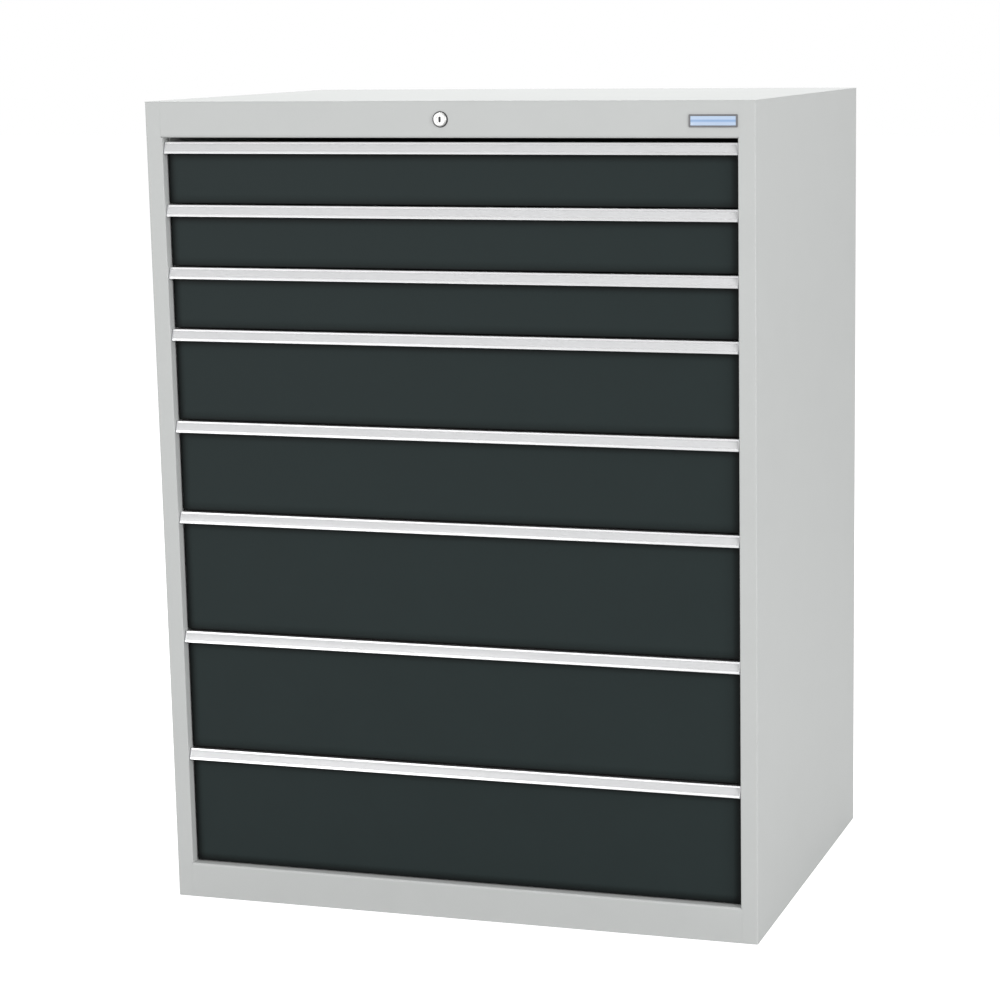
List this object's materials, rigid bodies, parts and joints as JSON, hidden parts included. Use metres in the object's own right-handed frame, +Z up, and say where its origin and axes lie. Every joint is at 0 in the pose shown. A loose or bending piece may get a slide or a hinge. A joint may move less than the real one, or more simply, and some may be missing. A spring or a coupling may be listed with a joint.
{
  "type": "workshop drawer cabinet",
  "caption": "Tall free-standing sheet-steel drawer cabinet with full-width aluminium grips, telescopic slides and a central lock.",
  "frame": {"origin": "centre of the footprint, on the floor", "axes": "+Z up, -Y out of the drawer fronts, +X to the right as seen from the front"},
  "size_m": [1.005, 0.729, 1.322],
  "materials": {
    "housing_paint": "light grey powder coat, fine orange peel, satin",
    "inner_paint": "light grey powder coat, thinner inside the housing",
    "front_paint": "anthracite powder coat, fine texture, satin",
    "tray_paint": "anthracite powder coat",
    "grip_aluminium": "clear anodised, drawn along its length",
    "slide_steel": "bright zinc plated",
    "lock_chrome": "satin nickel",
    "badge_plate": "blank pale blue plate with a dark rim",
    "guide_plastic": "black moulded nylon",
    "label_clear": "clear cover strip over a grey paper strip",
    "cap_plastic": "moulded end cap",
    "fastener_zinc": "zinc-plated screws, rivets and balls"
  },
  "bodies": {
    "housing": {"side_panel_left": "housing_paint", "side_panel_right": "housing_paint", "header_rail": "housing_paint", "plinth_rail": "housing_paint", "top_cover": "housing_paint", "top_stiffeners": "inner_paint", "back_panel": "housing_paint", "corner_posts": "inner_paint", "floor_pan": "inner_paint", "floor_skids": "inner_paint", "badge": "badge_plate", "cabinet_slides_left": "slide_steel", "cabinet_slides_right": "slide_steel", "lock_housing": "lock_chrome", "lock_bearing": "slide_steel", "lock_guides": "guide_plastic"},
    "lock": {"lock_plug": "lock_chrome", "lock_shaft": "slide_steel", "lock_crank": "slide_steel"},
    "lock_bar": {"lock_bar": "slide_steel"},
    "drawer_1": {"drawer_1_tray": "tray_paint", "drawer_1_front": "front_paint", "drawer_1_handle": "grip_aluminium", "drawer_1_slide_inner": "slide_steel"},
    "drawer_1_slides": {"drawer_1_slide_middle": "slide_steel"},
    "drawer_2": {"drawer_2_tray": "tray_paint", "drawer_2_front": "front_paint", "drawer_2_handle": "grip_aluminium", "drawer_2_slide_inner": "slide_steel"},
    "drawer_2_slides": {"drawer_2_slide_middle": "slide_steel"},
    "drawer_3": {"drawer_3_tray": "tray_paint", "drawer_3_front": "front_paint", "drawer_3_handle": "grip_aluminium", "drawer_3_slide_inner": "slide_steel"},
    "drawer_3_slides": {"drawer_3_slide_middle": "slide_steel"},
    "drawer_4": {"drawer_4_tray": "tray_paint", "drawer_4_front": "front_paint", "drawer_4_handle": "grip_aluminium", "drawer_4_slide_inner": "slide_steel"},
    "drawer_4_slides": {"drawer_4_slide_middle": "slide_steel"},
    "drawer_5": {"drawer_5_tray": "tray_paint", "drawer_5_front": "front_paint", "drawer_5_handle": "grip_aluminium", "drawer_5_slide_inner": "slide_steel"},
    "drawer_5_slides": {"drawer_5_slide_middle": "slide_steel"},
    "drawer_6": {"drawer_6_tray": "tray_paint", "drawer_6_front": "front_paint", "drawer_6_handle": "grip_aluminium", "drawer_6_slide_inner": "slide_steel"},
    "drawer_6_slides": {"drawer_6_slide_middle": "slide_steel"},
    "drawer_7": {"drawer_7_tray": "tray_paint", "drawer_7_front": "front_paint", "drawer_7_handle": "grip_aluminium", "drawer_7_slide_inner": "slide_steel"},
    "drawer_7_slides": {"drawer_7_slide_middle": "slide_steel"},
    "drawer_8": {"drawer_8_tray": "tray_paint", "drawer_8_front": "front_paint", "drawer_8_handle": "grip_aluminium", "drawer_8_slide_inner": "slide_steel"},
    "drawer_8_slides": {"drawer_8_slide_middle": "slide_steel"}
  },
  "joints": [
    {"name": "lock_turn", "type": "hinge", "parent": "housing", "child": "lock", "pos_m": [0, -0.3605, 1.2934], "axis": [0, -1, 0], "range_deg": [0, 90]},
    {"name": "lock_bar_lift", "type": "slide", "parent": "housing", "child": "lock_bar", "axis": [0, 0, 1], "range_m": [0, 0.01414]},
    {"name": "drawer_1_pull", "type": "slide", "parent": "housing", "child": "drawer_1", "axis": [0, -1, 0], "range_m": [0, 0.6]},
    {"name": "drawer_1_slides_run", "type": "slide", "parent": "housing", "child": "drawer_1_slides", "axis": [0, -1, 0], "range_m": [0, 0.3]},
    {"name": "drawer_2_pull", "type": "slide", "parent": "housing", "child": "drawer_2", "axis": [0, -1, 0], "range_m": [0, 0.6]},
    {"name": "drawer_2_slides_run", "type": "slide", "parent": "housing", "child": "drawer_2_slides", "axis": [0, -1, 0], "range_m": [0, 0.3]},
    {"name": "drawer_3_pull", "type": "slide", "parent": "housing", "child": "drawer_3", "axis": [0, -1, 0], "range_m": [0, 0.6]},
    {"name": "drawer_3_slides_run", "type": "slide", "parent": "housing", "child": "drawer_3_slides", "axis": [0, -1, 0], "range_m": [0, 0.3]},
    {"name": "drawer_4_pull", "type": "slide", "parent": "housing", "child": "drawer_4", "axis": [0, -1, 0], "range_m": [0, 0.6]},
    {"name": "drawer_4_slides_run", "type": "slide", "parent": "housing", "child": "drawer_4_slides", "axis": [0, -1, 0], "range_m": [0, 0.3]},
    {"name": "drawer_5_pull", "type": "slide", "parent": "housing", "child": "drawer_5", "axis": [0, -1, 0], "range_m": [0, 0.6]},
    {"name": "drawer_5_slides_run", "type": "slide", "parent": "housing", "child": "drawer_5_slides", "axis": [0, -1, 0], "range_m": [0, 0.3]},
    {"name": "drawer_6_pull", "type": "slide", "parent": "housing", "child": "drawer_6", "axis": [0, -1, 0], "range_m": [0, 0.6]},
    {"name": "drawer_6_slides_run", "type": "slide", "parent": "housing", "child": "drawer_6_slides", "axis": [0, -1, 0], "range_m": [0, 0.3]},
    {"name": "drawer_7_pull", "type": "slide", "parent": "housing", "child": "drawer_7", "axis": [0, -1, 0], "range_m": [0, 0.6]},
    {"name": "drawer_7_slides_run", "type": "slide", "parent": "housing", "child": "drawer_7_slides", "axis": [0, -1, 0], "range_m": [0, 0.3]},
    {"name": "drawer_8_pull", "type": "slide", "parent": "housing", "child": "drawer_8", "axis": [0, -1, 0], "range_m": [0, 0.6]},
    {"name": "drawer_8_slides_run", "type": "slide", "parent": "housing", "child": "drawer_8_slides", "axis": [0, -1, 0], "range_m": [0, 0.3]}
  ],
  "couplings": [
    {"joint": "lock_turn", "follows": "lock_bar_lift", "rad_per_m": 111.07},
    {"joint": "drawer_1_slides_run", "follows": "drawer_1_pull", "ratio": 0.5},
    {"joint": "drawer_2_slides_run", "follows": "drawer_2_pull", "ratio": 0.5},
    {"joint": "drawer_3_slides_run", "follows": "drawer_3_pull", "ratio": 0.5},
    {"joint": "drawer_4_slides_run", "follows": "drawer_4_pull", "ratio": 0.5},
    {"joint": "drawer_5_slides_run", "follows": "drawer_5_pull", "ratio": 0.5},
    {"joint": "drawer_6_slides_run", "follows": "drawer_6_pull", "ratio": 0.5},
    {"joint": "drawer_7_slides_run", "follows": "drawer_7_pull", "ratio": 0.5},
    {"joint": "drawer_8_slides_run", "follows": "drawer_8_pull", "ratio": 0.5}
  ]
}
